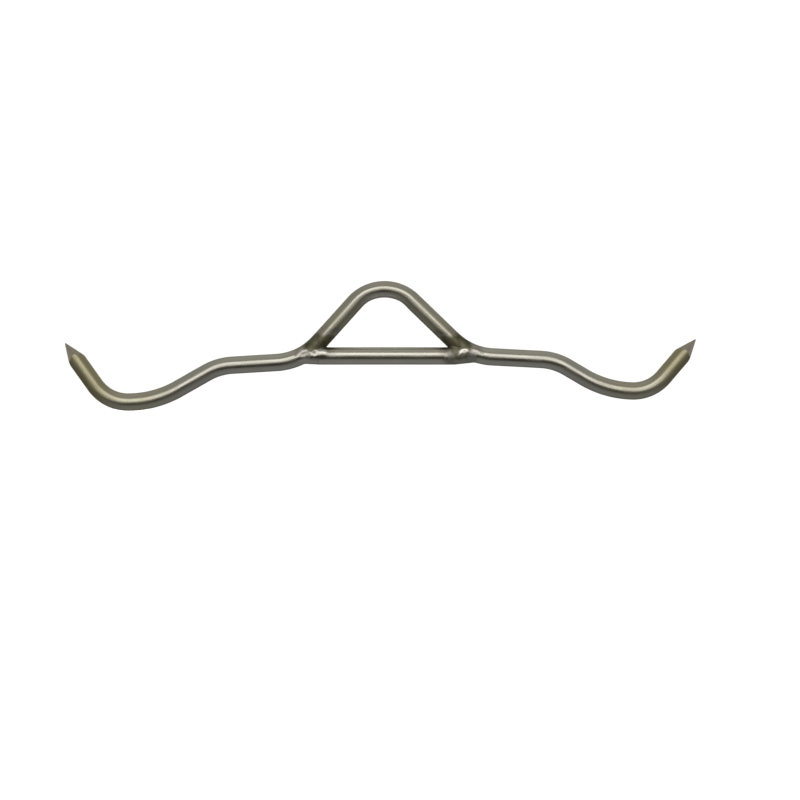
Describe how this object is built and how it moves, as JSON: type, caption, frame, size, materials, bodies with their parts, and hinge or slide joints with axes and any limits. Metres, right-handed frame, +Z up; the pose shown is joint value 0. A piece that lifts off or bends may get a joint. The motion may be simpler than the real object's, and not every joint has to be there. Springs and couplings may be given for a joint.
{
  "type": "gambrel",
  "caption": "Welded stainless bar that spreads and hangs a carcass: a bent loop takes the hoist's hook, and an upturned hook with a ground point at each end holds a leg.",
  "frame": {"origin": "the inside of the loop's crown, where the hook of a hoist bears", "axes": "+Z up as the gambrel hangs, +X along the span to the right, and -Y to the front: the bars lie in the XZ plane"},
  "size_m": [0.4293, 0.0148, 0.0883],
  "materials": {
    "bent_bar": "bright drawn stainless round bar with a warm cast, dulled by heat at the welds, and coarsely ground at the points",
    "cross_bar": "bright drawn stainless round bar",
    "weld": "rippled stainless weld metal with straw, brown and grey heat tint"
  },
  "bodies": {
    "root": {"bent_bar": "bent_bar", "cross_bar": "cross_bar", "left_front_weld": "weld", "left_back_weld": "weld", "right_front_weld": "weld", "right_back_weld": "weld"}
  },
  "joints": []
}
